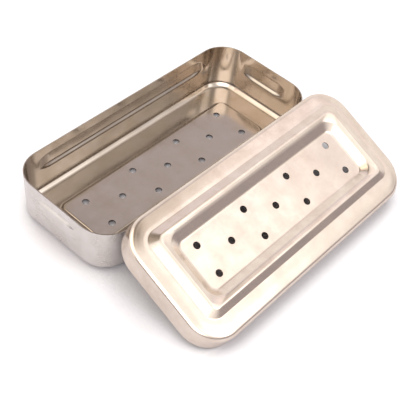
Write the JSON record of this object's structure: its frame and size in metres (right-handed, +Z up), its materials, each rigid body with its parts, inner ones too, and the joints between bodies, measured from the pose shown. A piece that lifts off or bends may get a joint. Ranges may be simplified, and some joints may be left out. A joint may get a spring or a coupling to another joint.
{
  "type": "perforated surgical instrument box",
  "caption": "Shallow deep-drawn stainless steel instrument box with rounded corners, beaded walls and a perforated raised base panel, and its perforated lift-off lid leaning on the rim.",
  "frame": {"origin": "on the table, under the middle of the outer box of the box and its leaning lid", "axes": "+X along the box, +Y across it from the lid towards the box, +Z up"},
  "size_m": [0.175, 0.1448, 0.0409],
  "materials": {
    "box_steel": "polished",
    "lid_steel": "polished"
  },
  "bodies": {
    "box": {"box_body": "box_steel"},
    "lid": {"lid": "lid_steel"}
  },
  "joints": [
    {"name": "lid_lift", "type": "slide", "parent": "box", "child": "lid", "axis": [0, 0, 1], "range_m": [0, 0.06]}
  ]
}
